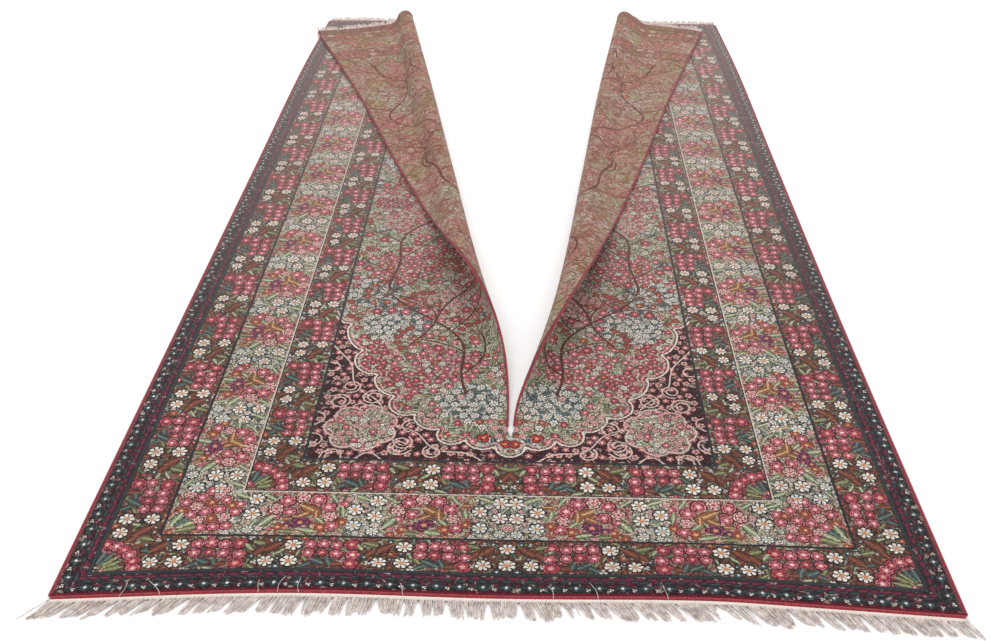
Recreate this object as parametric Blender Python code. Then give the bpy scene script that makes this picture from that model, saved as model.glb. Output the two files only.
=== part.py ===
"""Persian rug: a knotted carpet, slit from one end, its two flaps folded back over its face.

Run with: blender --background --python part.py
Units are metres, +Z is up and +Y runs along the rug to its slit end.
The rug is first laid out flat, in coordinates (across, along) with the slit on across = 0.
Each half is then rolled over a slanting crease that starts where the slit ends.
"""

import math

import bmesh
import bpy

# The rug laid out flat, selvedge to selvedge and end to end, without its fringes
WIDTH = 2.20
LENGTH = 4.38
THICKNESS = 0.010
SLIT_LENGTH = 3.75
SLIT_OPENS_OVER = 0.06

# The overcast cords round the edges, and the fringes beyond the ends
CORD_RADIUS = 0.0042
CORD_GAP = 0.0023
FRINGE_LENGTH = 0.062
FRINGE_UNEVEN = 0.014
FRINGE_STRIP = 0.010
FRINGE_GAP = 0.0045
FRINGE_THICKNESS = 0.004
FRINGE_DROOP = 0.7
TASSEL_PITCH = 0.060
TASSEL_ROOT = 0.62
TASSEL_TIP = 0.80
CORNER_SPLAY = 0.055
SPLAY_FROM = 0.94

# How much the edges stray from straight: a row for each place along the edge, as a fraction
LEFT_EDGE = [
    # along, outward bow
    (0.00, 0.000),
    (0.30, 0.006),
    (0.55, 0.011),
    (0.82, 0.017),
    (1.00, 0.000),
]
RIGHT_EDGE = [
    # along, outward bow
    (0.00, -0.008),
    (0.30, -0.010),
    (0.60, 0.000),
    (0.82, 0.010),
    (1.00, 0.000),
]
NEAR_EDGE = [
    # across, inward bow
    (0.00, 0.000),
    (0.25, 0.036),
    (0.49, 0.032),
    (0.72, 0.039),
    (0.84, 0.024),
    (1.00, 0.000),
]
FAR_EDGE = [
    # across, inward bow
    (0.00, 0.000),
    (0.15, 0.000),
    (0.34, 0.048),
    (0.44, 0.050),
    (0.50, 0.022),
    (0.54, 0.000),
    (1.00, 0.000),
]
BOW_DEPTH = 0.32

# The folds: a row for each place along the crease, as a fraction from the slit's end to the far end.
# crease shift moves the start of the bend out (-) or in (+), loop radius is that of the sheet's middle.
LEFT_FOLD = {
    "crease_angle": math.radians(10.13),
    "lift_near": math.radians(37.5),
    "lift_far": math.radians(67.5),
    "rows": [
        # fraction, crease shift, loop radius
        (0.00, 0.0000, 0.0708),
        (0.20, -0.0305, 0.0594),
        (0.45, -0.0070, 0.0402),
        (0.70, -0.0085, 0.0460),
        (1.00, 0.0000, 0.0385),
    ],
}
RIGHT_FOLD = {
    "crease_angle": math.radians(8.88),
    "lift_near": math.radians(29.9),
    "lift_far": math.radians(30.6),
    "rows": [
        # fraction, crease shift, loop radius
        (0.00, 0.0000, 0.0300),
        (0.07, -0.0560, 0.0440),
        (0.20, -0.0930, 0.0570),
        (0.45, -0.0400, 0.0335),
        (0.70, -0.0053, 0.0295),
        (1.00, 0.0000, 0.0377),
    ],
}
LAYER_GAP = 0.004
EASING_RATIO = 1.4

# How finely the sheet is divided
FLAT_COLUMNS = 7
BEND_COLUMNS = 14
FLAP_COLUMNS = 5
NEAR_ROWS = 3
SLIT_ROWS = 22
ROW_CROWDING = 1.4
LEAST_BEND_ZONE = 0.12
MOST_BEND_SHARE = 0.78

LEFT = -1
RIGHT = 1
FOLDS = {LEFT: LEFT_FOLD, RIGHT: RIGHT_FOLD}
SIDE_EDGES = {LEFT: LEFT_EDGE, RIGHT: RIGHT_EDGE}
HALF_WIDTH = WIDTH / 2
NEAR_END = -LENGTH / 2
FAR_END = LENGTH / 2
SLIT_END = FAR_END - SLIT_LENGTH
CORD_OFFSET = CORD_RADIUS + CORD_GAP
SLIT_HALF_WIDTH = 2 * CORD_RADIUS + 2 * CORD_GAP

WOOL_FACE = ((0.24, 0.15, 0.135), 0.95)
CRIMSON_WOOL = ((0.30, 0.02, 0.04), 0.90)
IVORY_COTTON = ((0.62, 0.57, 0.52), 0.95)


def smooth_lookup(rows, column, at):
    """The value of a table's column at this place, on a smooth curve through the rows."""
    places = [row[0] for row in rows]
    values = [row[column] for row in rows]
    at = min(max(at, places[0]), places[-1])
    last = len(rows) - 1
    index = max(i for i in range(last) if places[i] <= at)
    step = places[index + 1] - places[index]

    def slope(i):
        low, high = max(i - 1, 0), min(i + 1, last)
        return (values[high] - values[low]) / (places[high] - places[low])

    part = (at - places[index]) / step
    rise = values[index + 1] - values[index]
    ease = part * part * (3 - 2 * part)
    start = slope(index) * step * part * (1 - part) ** 2
    finish = slope(index + 1) * step * part * part * (1 - part)
    return values[index] + rise * ease + start - finish


def smooth_step(part):
    part = min(max(part, 0.0), 1.0)
    return part * part * (3 - 2 * part)


def slit_edge(along):
    """Half the slit's width: closed where the slit ends, then as wide as the cords in it need."""
    return SLIT_HALF_WIDTH * min(max((along - SLIT_END) / SLIT_OPENS_OVER, 0.0), 1.0)


def crease_frame(side, across, along):
    """Distances past the crease line and along it, and the fold's shift, radius and lift there."""
    fold = FOLDS[side]
    angle = fold["crease_angle"]
    beyond = (along - SLIT_END) * math.sin(angle) - across * math.cos(angle)
    down = across * math.sin(angle) + (along - SLIT_END) * math.cos(angle)
    fraction = down / (SLIT_LENGTH / math.cos(angle))
    shift = smooth_lookup(fold["rows"], 1, fraction)
    radius = smooth_lookup(fold["rows"], 2, fraction)
    eased = min(max(fraction, 0.0), 1.0)
    lift = fold["lift_near"] + (fold["lift_far"] - fold["lift_near"]) * eased
    return beyond - shift, down, shift, radius, lift


def loop_lengths(radius, lift):
    """Where, along the sheet, the round part ends, the straight part ends and the flap lies down."""
    easing = EASING_RATIO * radius
    round_end = radius * (math.pi + lift)
    top = radius * (1 - math.cos(math.pi + lift))
    fall = top - easing * (1 - math.cos(lift)) - (THICKNESS + LAYER_GAP)
    straight_end = round_end + max(fall / math.sin(lift), 0.0)
    return round_end, straight_end, straight_end + easing * lift


def loop_profile(beyond, radius, lift):
    """(sideways, up) of a point this far past the crease: up round the loop, down it and flat again."""
    if beyond <= 0:
        return beyond, 0.0
    round_end, straight_end, flat_from = loop_lengths(radius, lift)
    easing = EASING_RATIO * radius
    turn = min(beyond, round_end) / radius
    side = radius * math.sin(turn)
    up = radius * (1 - math.cos(turn))
    run = min(max(beyond - round_end, 0.0), straight_end - round_end)
    side -= run * math.cos(lift)
    up -= run * math.sin(lift)
    left = lift - min(max(beyond - straight_end, 0.0) / easing, lift)
    side -= easing * (math.sin(lift) - math.sin(left))
    up -= easing * (math.cos(left) - math.cos(lift))
    side -= max(beyond - flat_from, 0.0)
    return side, up


def folded(side, across, along):
    """The place of a point of the flat sheet once its half is folded: x, y, and z of its middle."""
    beyond, down, shift, radius, lift = crease_frame(side, across, along)
    sideways, up = loop_profile(beyond, radius, lift)
    sideways += shift
    angle = FOLDS[side]["crease_angle"]
    x = math.sin(angle) * down - math.cos(angle) * sideways
    y = SLIT_END + math.cos(angle) * down + math.sin(angle) * sideways
    return side * x, y, THICKNESS / 2 + up


def edge_bows(side, across, along):
    """The flat point moved by as much as the sheet's edges stray from straight."""
    part = (along - NEAR_END) / LENGTH
    outward = smooth_lookup(SIDE_EDGES[side], 1, part) * smooth_step(across / HALF_WIDTH)
    spot = 0.5 + side * across / WIDTH
    near = smooth_lookup(NEAR_EDGE, 1, spot) * (1 - smooth_step((along - NEAR_END) / BOW_DEPTH))
    far = smooth_lookup(FAR_EDGE, 1, spot) * (1 - smooth_step((FAR_END - along) / BOW_DEPTH))
    return across + outward, along + near - far


def placed(side, across, along):
    across, along = edge_bows(side, across, along)
    return folded(side, across, along)


def column_stops(side, along):
    """Distances across from the side edge to the slit, close together where the sheet bends."""
    inner = slit_edge(along)
    angle = FOLDS[side]["crease_angle"]
    crease = (along - SLIT_END) * math.tan(angle)
    shift = -smooth_lookup(FOLDS[side]["rows"], 1, max(along - SLIT_END, 0.0) / SLIT_LENGTH)
    start = max(crease + max(shift, 0.0), inner + LEAST_BEND_ZONE)
    past_start, _, _, radius, lift = crease_frame(side, start, along)
    past_edge = crease_frame(side, inner, along)[0]
    bend = (loop_lengths(radius, lift)[2] - past_start) / (past_edge - past_start)
    bend = min(bend, MOST_BEND_SHARE)
    stops = [HALF_WIDTH + (start - HALF_WIDTH) * i / FLAT_COLUMNS for i in range(FLAT_COLUMNS)]
    stops += [start + (inner - start) * bend * i / BEND_COLUMNS for i in range(BEND_COLUMNS)]
    flap = start + (inner - start) * bend
    stops += [flap + (inner - flap) * i / FLAP_COLUMNS for i in range(FLAP_COLUMNS + 1)]
    return stops


def row_stops():
    """Distances along from the near end to the far end, with one exactly where the slit ends."""
    near = [NEAR_END + (SLIT_END - NEAR_END) * i / NEAR_ROWS for i in range(NEAR_ROWS)]
    slit = [SLIT_END + SLIT_LENGTH * (i / SLIT_ROWS) ** ROW_CROWDING for i in range(SLIT_ROWS + 1)]
    return near + slit


def make_material(name, look):
    colour, roughness = look
    material = bpy.data.materials.new(name)
    material.use_nodes = True
    shader = material.node_tree.nodes["Principled BSDF"]
    shader.inputs["Base Color"].default_value = (*colour, 1.0)
    shader.inputs["Roughness"].default_value = roughness
    shader.inputs["Metallic"].default_value = 0.0
    material.diffuse_color = (*colour, 1.0)
    return material


def add_object(name, data, material):
    data.materials.append(material)
    made = bpy.data.objects.new(name, data)
    bpy.context.collection.objects.link(made)
    return made


def finish_mesh(bm, name, material):
    bmesh.ops.recalc_face_normals(bm, faces=bm.faces)
    mesh = bpy.data.meshes.new(name)
    bm.to_mesh(mesh)
    bm.free()
    return add_object(name, mesh, material)


def thicken(made, thickness):
    """Both sides of the middle surface move out by half the thickness."""
    modifier = made.modifiers.new("thickness", "SOLIDIFY")
    modifier.thickness = thickness
    modifier.offset = 0.0
    modifier.use_even_offset = True


def grid(columns, rows):
    """A flat grid whose vertices lie at whole numbers: column on x, row on y."""
    bm = bmesh.new()
    bmesh.ops.create_grid(bm, x_segments=columns, y_segments=rows, size=0.5)
    for vertex in bm.verts:
        vertex.co.x = round((vertex.co.x + 0.5) * columns)
        vertex.co.y = round((vertex.co.y + 0.5) * rows)
    return bm


def make_rug_body(material):
    """The knotted sheet: a grid opened along the slit, then each half laid in its fold."""
    rows = row_stops()
    half = FLAT_COLUMNS + BEND_COLUMNS + FLAP_COLUMNS
    bm = grid(2 * half, len(rows) - 1)
    slit = [
        edge
        for edge in bm.edges
        if all(v.co.x == half and v.co.y >= NEAR_ROWS for v in edge.verts)
    ]
    bmesh.ops.split_edges(bm, edges=slit)
    spots = []
    for vertex in bm.verts:
        faces = vertex.link_faces
        middle = sum(face.calc_center_median().x for face in faces) / len(faces)
        side = RIGHT if middle > half else LEFT
        spots.append((vertex, side, round(vertex.co.x), round(vertex.co.y)))
    stops = {side: [column_stops(side, along) for along in rows] for side in FOLDS}
    for vertex, side, column, row in spots:
        stop = column if side == LEFT else 2 * half - column
        vertex.co = placed(side, stops[side][row][stop], rows[row])
    thicken(finish_mesh(bm, "rug_body", material), THICKNESS)


def make_cord(name, points, material):
    """A round cord along a list of points."""
    curve = bpy.data.curves.new(name, "CURVE")
    curve.dimensions = "3D"
    curve.bevel_depth = CORD_RADIUS
    curve.bevel_resolution = 1
    curve.use_fill_caps = True
    spline = curve.splines.new("POLY")
    spline.points.add(len(points) - 1)
    for point, place in zip(spline.points, points):
        point.co = (*place, 1.0)
    return add_object(name, curve, material)


def make_cords(material):
    """The overcast edges: both sides, both sides of the slit and the ends."""
    rows = row_stops()
    for side, word in ((LEFT, "left"), (RIGHT, "right")):
        edge = [placed(side, HALF_WIDTH + CORD_OFFSET, along) for along in rows]
        make_cord(f"side_cord_{word}", edge, material)
        opened = [along for along in rows if along >= SLIT_END + SLIT_OPENS_OVER]
        opened[-1] -= CORD_OFFSET
        lip = [placed(side, slit_edge(along) - CORD_OFFSET, along) for along in opened]
        make_cord(f"slit_cord_{word}", lip, material)
        stops = column_stops(side, FAR_END)
        end = [placed(side, across, FAR_END + CORD_OFFSET) for across in stops]
        make_cord(f"far_end_cord_{word}", end, material)
    stops = [(LEFT, across) for across in column_stops(LEFT, NEAR_END)[:-1]]
    stops += [(RIGHT, across) for across in reversed(column_stops(RIGHT, NEAR_END))]
    near = [placed(side, across, NEAR_END - CORD_OFFSET) for side, across in stops]
    make_cord("near_end_cord", near, material)


def tassel_length(number):
    """Worn tassels: two slow waves that never repeat together."""
    return FRINGE_LENGTH + FRINGE_UNEVEN * 0.5 * (math.sin(2.3 * number) + math.sin(0.9 * number + 1.0))


def make_fringe(name, start, finish, place, material):
    """A comb: a strip from start to finish, with a tapering tassel on every other piece of it.

    place(across, out) gives the x, y and z of a point that far across and that far out.
    """
    tassels = round(abs(finish - start) / TASSEL_PITCH)
    bm = grid(2 * tassels + 1, 1)
    outer = [edge for edge in bm.edges if all(v.co.y == 1 for v in edge.verts)]
    toothed = [edge for edge in outer if round(sum(v.co.x for v in edge.verts) / 2 - 0.5) % 2 == 0]
    made = bmesh.ops.extrude_edge_only(bm, edges=toothed)["geom"]
    tips = {v for v in made if isinstance(v, bmesh.types.BMVert)}
    pitch = (finish - start) / (tassels + TASSEL_ROOT)
    for vertex in bm.verts:
        number, right = divmod(round(vertex.co.x), 2)
        across = start + pitch * (number + right * TASSEL_ROOT)
        out = FRINGE_STRIP * vertex.co.y
        if vertex in tips:
            middle = start + pitch * (number + 0.5 * TASSEL_ROOT)
            across = middle + (across - middle) * TASSEL_TIP
            out = tassel_length(number)
        vertex.co = place(across, out)
    thicken(finish_mesh(bm, name, material), FRINGE_THICKNESS)


def make_fringes(material):
    """The warp ends beyond both end cords: they lie on the floor, and droop where the end is raised."""
    from_end = 2 * CORD_RADIUS + FRINGE_GAP

    def near_place(across, out):
        side = RIGHT if across > 0 else LEFT
        x, y, _ = placed(side, abs(across), NEAR_END - from_end)
        corner = max(abs(across) / HALF_WIDTH - SPLAY_FROM, 0.0) / (1 - SPLAY_FROM)
        splay = CORNER_SPLAY * corner * out / FRINGE_LENGTH
        return x + side * splay, y - out, FRINGE_THICKNESS / 2

    make_fringe("near_fringe", -HALF_WIDTH, HALF_WIDTH, near_place, material)
    flap_height = THICKNESS / 2 + THICKNESS + LAYER_GAP
    for side, word in ((LEFT, "left"), (RIGHT, "right")):

        def far_place(across, out, side=side):
            x, y, z = placed(side, across, FAR_END + from_end + out)
            raised = max(z - flap_height, 0.0)
            droop = FRINGE_DROOP * min(out / FRINGE_LENGTH, 1.0) ** 2
            return x, y, z - raised * droop

        inner = slit_edge(FAR_END)
        make_fringe(f"far_fringe_{word}", HALF_WIDTH, inner, far_place, material)


def centre_on_origin():
    """The middle of the whole rug's box comes to the origin, and its underside to z = 0."""
    bpy.context.view_layer.update()
    graph = bpy.context.evaluated_depsgraph_get()
    corners = [
        made.matrix_world @ vertex.co
        for made in (each.evaluated_get(graph) for each in bpy.data.objects)
        for vertex in made.to_mesh().vertices
    ]
    low = [min(corner[axis] for corner in corners) for axis in range(3)]
    high = [max(corner[axis] for corner in corners) for axis in range(3)]
    rug = bpy.data.objects.new("rug", None)
    bpy.context.collection.objects.link(rug)
    for made in list(bpy.data.objects):
        if made != rug:
            made.parent = rug
    rug.location = (-(low[0] + high[0]) / 2, -(low[1] + high[1]) / 2, -low[2])


def main():
    for made in list(bpy.data.objects):
        bpy.data.objects.remove(made)
    wool = make_material("knotted_wool_pile", WOOL_FACE)
    crimson = make_material("crimson_overcast_wool", CRIMSON_WOOL)
    cotton = make_material("ivory_cotton_warp", IVORY_COTTON)
    make_rug_body(wool)
    make_cords(crimson)
    make_fringes(cotton)
    centre_on_origin()


main()
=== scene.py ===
import math
import random

import bmesh
import bpy
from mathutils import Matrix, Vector, kdtree, noise


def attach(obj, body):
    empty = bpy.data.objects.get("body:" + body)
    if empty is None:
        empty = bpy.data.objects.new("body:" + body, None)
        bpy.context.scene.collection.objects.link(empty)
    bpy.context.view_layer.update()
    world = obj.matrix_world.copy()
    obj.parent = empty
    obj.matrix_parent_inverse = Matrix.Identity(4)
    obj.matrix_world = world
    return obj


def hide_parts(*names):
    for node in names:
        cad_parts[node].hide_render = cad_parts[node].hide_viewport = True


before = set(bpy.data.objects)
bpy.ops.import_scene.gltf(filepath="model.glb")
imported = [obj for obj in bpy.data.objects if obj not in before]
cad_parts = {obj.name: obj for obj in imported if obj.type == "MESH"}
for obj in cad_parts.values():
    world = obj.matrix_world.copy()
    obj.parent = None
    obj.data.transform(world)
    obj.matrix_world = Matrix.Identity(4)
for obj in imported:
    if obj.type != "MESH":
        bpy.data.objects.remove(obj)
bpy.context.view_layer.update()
dice = random.Random(7)

# the rug's own sizes, in metres
rug = {
    "width": 2.20,
    "length": 4.38,
    "thickness": 0.010,
    "slitLength": 3.75,
    "slitOpensOver": 0.06,
    "cordOffset": 0.0065,      # from the sheet's edge to the middle of its cord
    "slitHalfWidth": 0.0130,
    "layerGap": 0.004,         # between the floor layer and a flap lying on it
    "easing": 1.4,
    "bowDepth": 0.32,          # how far in from an end its bow dies out
    "centred": (0.0063, -0.0023),
}
fullTurn = 6.2832
halfWidth = rug["width"] / 2
nearEnd = -rug["length"] / 2
farEnd = rug["length"] / 2
slitEnd = farEnd - rug["slitLength"]

sideEdges = {  # along as a fraction, outward bow
    -1: [(0.00, 0.000), (0.30, 0.006), (0.55, 0.011), (0.82, 0.017), (1.00, 0.000)],
    1: [(0.00, -0.008), (0.30, -0.010), (0.60, 0.000), (0.82, 0.010), (1.00, 0.000)],
}
nearEdge = [(0.00, 0.000), (0.25, 0.036), (0.49, 0.032), (0.72, 0.039), (0.84, 0.024), (1.00, 0.000)]
farEdge = [(0.00, 0.000), (0.15, 0.000), (0.34, 0.048), (0.44, 0.050), (0.50, 0.022), (0.54, 0.000), (1.00, 0.000)]
folds = {  # down the crease as a fraction, shift of the crease, radius of the loop
    -1: {
        "crease": math.radians(10.13), "liftNear": math.radians(37.5), "liftFar": math.radians(67.5),
        "rows": [(0.00, 0.0000, 0.0708), (0.20, -0.0305, 0.0594), (0.45, -0.0070, 0.0402), (0.70, -0.0085, 0.0460),
            (1.00, 0.0000, 0.0385)],
    },
    1: {
        "crease": math.radians(8.88), "liftNear": math.radians(29.9), "liftFar": math.radians(30.6),
        "rows": [(0.00, 0.0000, 0.0300), (0.07, -0.0560, 0.0440), (0.20, -0.0930, 0.0570), (0.45, -0.0400, 0.0335),
            (0.70, -0.0053, 0.0295), (1.00, 0.0000, 0.0377)],
    },
}


def clamp(value, low=0.0, high=1.0):
    return min(max(value, low), high)


def smoothStep(part):
    part = clamp(part)
    return part * part * (3 - 2 * part)


def smoothLookup(rows, column, at):
    last = len(rows) - 1
    at = clamp(at, rows[0][0], rows[last][0])
    index = max(i for i in range(last) if rows[i][0] <= at)
    step = rows[index + 1][0] - rows[index][0]

    def slope(i):
        low, high = max(i - 1, 0), min(i + 1, last)
        return (rows[high][column] - rows[low][column]) / (rows[high][0] - rows[low][0])

    part = (at - rows[index][0]) / step
    rise = rows[index + 1][column] - rows[index][column]
    start = slope(index) * step * part * (1 - part) ** 2
    finish = slope(index + 1) * step * part * part * (1 - part)
    return rows[index][column] + rise * part * part * (3 - 2 * part) + start - finish


def slitEdge(along):
    return rug["slitHalfWidth"] * clamp((along - slitEnd) / rug["slitOpensOver"])


def loopPlace(beyond, radius, lift):
    # sideways and up, for cloth this far past the crease: round the loop, down it and flat again
    if beyond <= 0:
        return beyond, 0.0
    easing = rug["easing"] * radius
    roundEnd = radius * (math.pi + lift)
    top = radius * (1 - math.cos(math.pi + lift))
    fall = top - easing * (1 - math.cos(lift)) - (rug["thickness"] + rug["layerGap"])
    straightEnd = roundEnd + max(fall / math.sin(lift), 0.0)
    turn = min(beyond, roundEnd) / radius
    run = clamp(beyond - roundEnd, 0.0, straightEnd - roundEnd)
    left = lift - min(max(beyond - straightEnd, 0.0) / easing, lift)
    side = radius * math.sin(turn) - run * math.cos(lift) - easing * (math.sin(lift) - math.sin(left))
    up = radius * (1 - math.cos(turn)) - run * math.sin(lift) - easing * (math.cos(left) - math.cos(lift))
    return side - max(beyond - straightEnd - easing * lift, 0.0), up


def placed(side, across, along):
    # the place of a point of the sheet's middle, once its edges are bowed and its half is folded
    part = (along - nearEnd) / rug["length"]
    spot = 0.5 + side * across / rug["width"]
    near = smoothLookup(nearEdge, 1, spot) * (1 - smoothStep((along - nearEnd) / rug["bowDepth"]))
    far = smoothLookup(farEdge, 1, spot) * (1 - smoothStep((farEnd - along) / rug["bowDepth"]))
    across += smoothLookup(sideEdges[side], 1, part) * smoothStep(across / halfWidth)
    along += near - far
    fold = folds[side]
    sine, cosine = math.sin(fold["crease"]), math.cos(fold["crease"])
    down = across * sine + (along - slitEnd) * cosine
    fraction = down / (rug["slitLength"] / cosine)
    shift = smoothLookup(fold["rows"], 1, fraction)
    radius = smoothLookup(fold["rows"], 2, fraction)
    lift = fold["liftNear"] + (fold["liftFar"] - fold["liftNear"]) * clamp(fraction)
    sideways, up = loopPlace((along - slitEnd) * sine - across * cosine - shift, radius, lift)
    sideways += shift
    x = side * (sine * down - cosine * sideways)
    y = slitEnd + cosine * down + sine * sideways
    return Vector((x + rug["centred"][0], y + rug["centred"][1], rug["thickness"] / 2 + up))


def linear(colour):
    parts = [int(colour[i:i + 2], 16) / 255 for i in (1, 3, 5)]
    return tuple(p / 12.92 if p <= 0.04045 else ((p + 0.055) / 1.055) ** 2.4 for p in parts) + (1.0,)


mixed = {"data_type": "RGBA"}
multiplied = {"data_type": "RGBA", "blend_type": "MULTIPLY"}


def addNode(tree, kind, settings=None, links=None):
    # links holds, for each input, a node (its first output), a socket or a plain value
    node = tree.nodes.new("ShaderNode" + kind)
    for name, value in (settings or {}).items():
        setattr(node, name, value)
    for name, value in (links or {}).items():
        if isinstance(value, bpy.types.Node):
            value = value.outputs[0]
        if isinstance(value, bpy.types.NodeSocket):
            tree.links.new(value, node.inputs[name])
        else:
            node.inputs[name].default_value = value
    return node


def newMaterial(name):
    material = bpy.data.materials.new(name)
    material.use_nodes = True
    return material, material.node_tree, material.node_tree.nodes["Principled BSDF"]


def addPiece(bm, name, material):
    mesh = bpy.data.meshes.new(name)
    bm.to_mesh(mesh)
    bm.free()
    mesh.materials.append(material)
    mesh.polygons.foreach_set("use_smooth", [True] * len(mesh.polygons))
    piece = bpy.data.objects.new(name, mesh)
    bpy.context.collection.objects.link(piece)
    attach(piece, "root")
    return piece


def fillSteps(ramp, stops):
    # hard steps: from this place on, a colour that covers what lies below or leaves it
    ramp.color_ramp.interpolation = "CONSTANT"
    for at, tone, cover in stops:
        stop = ramp.color_ramp.elements.new(at) if at else ramp.color_ramp.elements[0]
        stop.color = linear(tone)[:3] + (cover,)
    ramp.color_ramp.elements.remove(ramp.color_ramp.elements[-1])


def yarnMaterial(name, texture, tones, finish):
    # a fibrous matt finish: one texture on the piece's own place tints it between two tones and roughens it; the darker
    # tone falls where the bump is low, so it is partly the yarn's uneven tone and partly painted shade in the hollows
    material, tree, shader = newMaterial(name)
    kind, settings, values = texture
    place = addNode(tree, "TexCoord").outputs["Object"]
    fibre = addNode(tree, kind, settings, {"Vector": place, **values})
    ramp = addNode(tree, "ValToRGB", {}, {0: fibre.outputs["Fac"]})
    for stop, (at, tone) in zip(ramp.color_ramp.elements, tones):
        stop.position, stop.color = at, linear(tone)
    tree.links.new(ramp.outputs["Color"], shader.inputs["Base Color"])
    shader.inputs["Roughness"].default_value = finish["roughness"]
    shader.inputs["Sheen Weight"].default_value = finish["sheen"]
    bump = addNode(tree, "Bump", {}, {
        "Height": fibre.outputs["Fac"], "Strength": finish["bump"], "Distance": finish["depth"]})
    tree.links.new(bump.outputs["Normal"], shader.inputs["Normal"])
    return material


def strandPiece(name, strands, material, node=None):
    # turns a finished curve of strands into a mesh piece
    holder = bpy.data.objects.new(name + "Strands", strands)
    mesh = bpy.data.meshes.new_from_object(holder)
    mesh.name = name
    mesh.materials.clear()
    mesh.materials.append(material)
    bpy.data.objects.remove(holder)
    piece = bpy.data.objects.new(name, mesh)
    bpy.context.collection.objects.link(piece)
    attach(piece, "root")
    if node:
        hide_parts(node)
    return piece


def newStrands(name, thick, resolution):
    strands = bpy.data.curves.new(name, "CURVE")
    strands.dimensions = "3D"
    strands.bevel_depth = thick
    strands.bevel_resolution = resolution
    strands.use_fill_caps = True
    return strands


# camera, light and floor
camera = bpy.data.objects.new("camera", bpy.data.cameras.new("camera"))
camera.location = (0.0323, -4.0389, 2.0216)
camera.rotation_euler = [math.radians(a) for a in (56.993, -0.175, 1.438)]
camera.data.lens = 39.73
camera.data.sensor_width = 36.0
camera.data.clip_end = 60.0
bpy.context.collection.objects.link(camera)
bpy.context.scene.camera = camera

studio = {
    "sky": 0.92,               # white all round, so the weave is lit evenly
    "floorHalf": 60.0, "floorDown": 0.0006,
    "lamps": [                 # name, place, size, watts
        ("keyLamp", (-2.6, -3.2, 4.6), 3.6, 40),
        ("fillLamp", (3.4, -2.0, 4.2), 4.2, 24),
        ("farLamp", (0.2, 4.2, 4.4), 4.0, 120),
    ],
}
world = bpy.data.worlds.new("softStudio")
bpy.context.scene.world = world
world.use_nodes = True
world.node_tree.nodes["Background"].inputs["Color"].default_value = (1.0, 1.0, 1.0, 1.0)
world.node_tree.nodes["Background"].inputs["Strength"].default_value = studio["sky"]
for name, place, size, power in studio["lamps"]:
    lamp = bpy.data.objects.new(name, bpy.data.lights.new(name, "AREA"))
    lamp.data.size = size
    lamp.data.energy = power
    lamp.location = place
    lamp.rotation_euler = (Vector((0.0, 0.0, 0.0)) - Vector(place)).to_track_quat("-Z", "Y").to_euler()
    bpy.context.collection.objects.link(lamp)
bpy.context.scene.view_settings.view_transform = "Standard"

floorPaint, tree, shader = newMaterial("matte white studio paper")  # even white, no gloss
shader.inputs["Base Color"].default_value = linear("#FFFFFF")
shader.inputs["Roughness"].default_value = 1.0
bm = bmesh.new()
bmesh.ops.create_grid(bm, x_segments=1, y_segments=1, size=studio["floorHalf"])
bmesh.ops.translate(bm, verts=bm.verts, vec=(0.0, 0.0, -studio["floorDown"]))
floorMesh = bpy.data.meshes.new("floor")
bm.to_mesh(floorMesh)
bm.free()
floorMesh.materials.append(floorPaint)
floor = bpy.data.objects.new("floor", floorMesh)
bpy.context.collection.objects.link(floor)
print("stage set: camera, lamps and floor")

# the design, in flat metres
# across runs from the slit to the side edge (both halves are mirrored), up from the near end
strips = {  # distances in from the rug's edge
    "outer": (0.070, 0.203),
    "middle": (0.212, 0.383),
    "inner": (0.394, 0.518),
}
fieldEdge = 0.5254

blooms = {  # petals, notch, heart, ring, then petal, rim and heart colours
    "daisy": (7, 0.48, 0.22, 0.0, "#E4DACF", "#15121A", "#C98655"),
    "blueDaisy": (7, 0.50, 0.20, 0.0, "#D9DAD2", "#1A1E26", "#C29A6C"),
    "pinkRose": (5, 0.26, 0.22, 0.56, "#D87682", "#481520", "#F0C6BD"),
    "deepRose": (5, 0.26, 0.24, 0.56, "#BA4E5C", "#47141F", "#DD9A8E"),
    "paleRose": (6, 0.34, 0.20, 0.55, "#EBBFB7", "#5A2028", "#B04C54"),
    "mauveBloom": (5, 0.50, 0.22, 0.50, "#8C4264", "#3E1729", "#C99068"),
    "rustRose": (5, 0.28, 0.25, 0.55, "#A95A40", "#632A20", "#D09E78"),
    "redTulip": (3, 0.45, 0.25, 0.0, "#A8322F", "#551618", "#CF935F"),
    "creamStar": (5, 0.42, 0.28, 0.0, "#D0ACA0", "#4A111C", "#9C4048"),
    "pinkStar": (5, 0.42, 0.28, 0.0, "#BC7074", "#3E0D17", "#DFC3AD"),
    "tealBell": (4, 0.30, 0.26, 0.0, "#3C4F55", "#14131B", "#CFCCC4"),
    "creamLeaf": (0, 0.36, 0.12, 0.0, "#DACCB4", "#40302A", "#8C6A48"),
    "fieldDaisy": (6, 0.44, 0.22, 0.0, "#E6DFD4", "#222026", "#B0805E"),
    "guardLeaf": (0, 0.45, 0.10, 0.0, "#243036", "#141017", "#3C4A4E"),
    "guardBud": (0, 0.60, 0.10, 0.0, "#5A1830", "#22101C", "#7A2C42"),
    "whitePetal": (3, 0.60, 0.10, 0.0, "#CFC8BE", "#201C26", "#CFC8BE"),
    "rustLeaf": (0, 0.50, 0.08, 0.0, "#6C372A", "#2E1915", "#8A563F"),
    "brownLeaf": (0, 0.55, 0.10, 0.0, "#8A5834", "#4C2F22", "#C39A72"),
    "greenLeaf": (0, 0.42, 0.10, 0.0, "#7F8A6A", "#28301F", "#B8BB9A"),
    "tealLeaf": (0, 0.48, 0.10, 0.0, "#3B4C4A", "#1B2020", "#62746C"),
    "oliveLeaf": (0, 0.45, 0.10, 0.0, "#656A46", "#33302A", "#97956C"),
}
flowers = []  # across, up, radius, turn, bloom
curves = []   # half width, colour, points across and up


def edgeDistance(across, up):
    return min(halfWidth - across, up, rug["length"] - up)


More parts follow.
